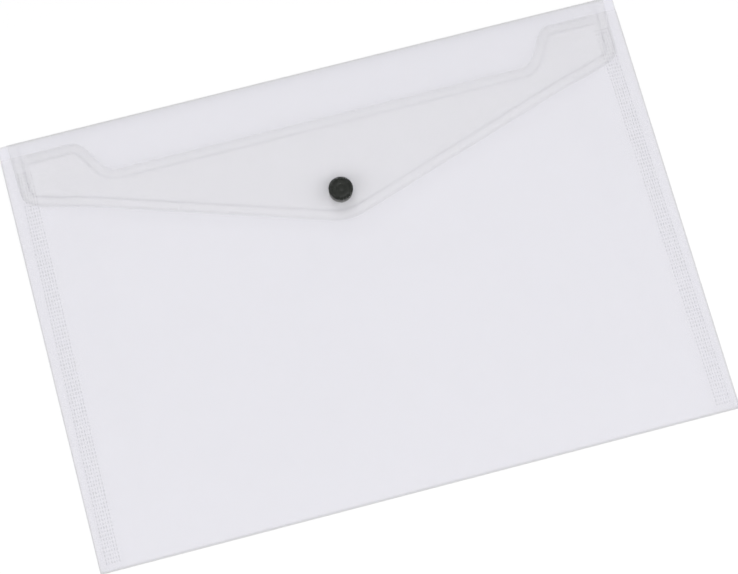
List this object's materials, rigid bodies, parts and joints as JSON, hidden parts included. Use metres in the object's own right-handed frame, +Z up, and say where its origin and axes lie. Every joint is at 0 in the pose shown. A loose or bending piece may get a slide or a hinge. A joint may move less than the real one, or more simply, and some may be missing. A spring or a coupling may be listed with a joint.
{
  "type": "press-stud document wallet",
  "caption": "Landscape envelope wallet of frosted translucent film with a pointed flap closed by a black press stud.",
  "frame": {"origin": "centre of the resting underside", "axes": "+X along the width, +Y towards the crease of the flap, +Z up out of the front wall"},
  "size_m": [0.33, 0.23, 0.0087],
  "materials": {
    "film": "frosted translucent polypropylene film with a fine embossed grain",
    "press_stud": "glossy black moulded plastic"
  },
  "bodies": {
    "wallet": {"back_panel": "film", "front_panel": "film", "bottom_fold": "film", "side_weld_left": "film", "side_weld_right": "film", "flap_crease": "film", "snap_stud": "press_stud", "snap_rivet": "press_stud"},
    "flap": {"flap": "film", "snap_cap": "press_stud", "snap_socket": "press_stud"}
  },
  "joints": [
    {"name": "flap_hinge", "type": "hinge", "parent": "wallet", "child": "flap", "pos_m": [0, 0.1147, 0.0003], "axis": [-1, 0, 0], "range_deg": [0, 160], "deforming": ["flap_crease"]}
  ]
}
